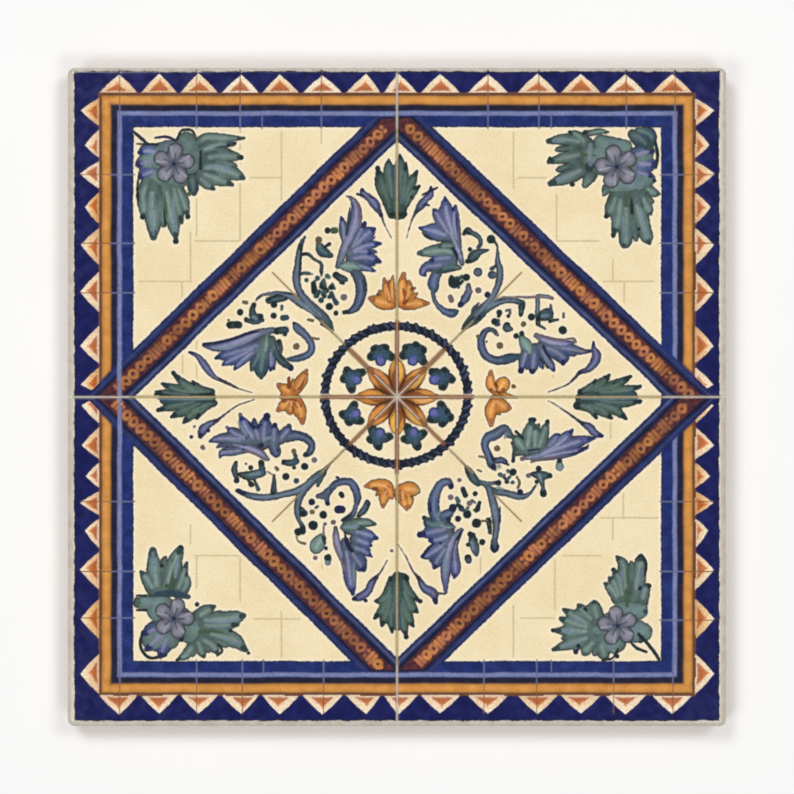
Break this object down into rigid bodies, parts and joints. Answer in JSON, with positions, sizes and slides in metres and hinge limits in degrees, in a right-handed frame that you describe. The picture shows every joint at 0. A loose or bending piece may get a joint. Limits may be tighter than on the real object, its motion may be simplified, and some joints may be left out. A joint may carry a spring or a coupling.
{
  "type": "azulejo tile",
  "caption": "Square glazed earthenware wall tile painted with a diamond, a central rosette, acanthus scrolls and a zigzag border, with a keyed back to be bedded in adhesive.",
  "frame": {"origin": "middle of the back, in the plane of its rim and ribs", "axes": "+Z out of the glazed face; +X to the right and +Y towards the top of the painted pattern, as the picture shows it"},
  "size_m": [0.15, 0.15, 0.008],
  "materials": {
    "glazed_earthenware": "glossy tin glaze over earthenware"
  },
  "bodies": {
    "root": {"azulejo_tile": "glazed_earthenware"}
  },
  "joints": []
}
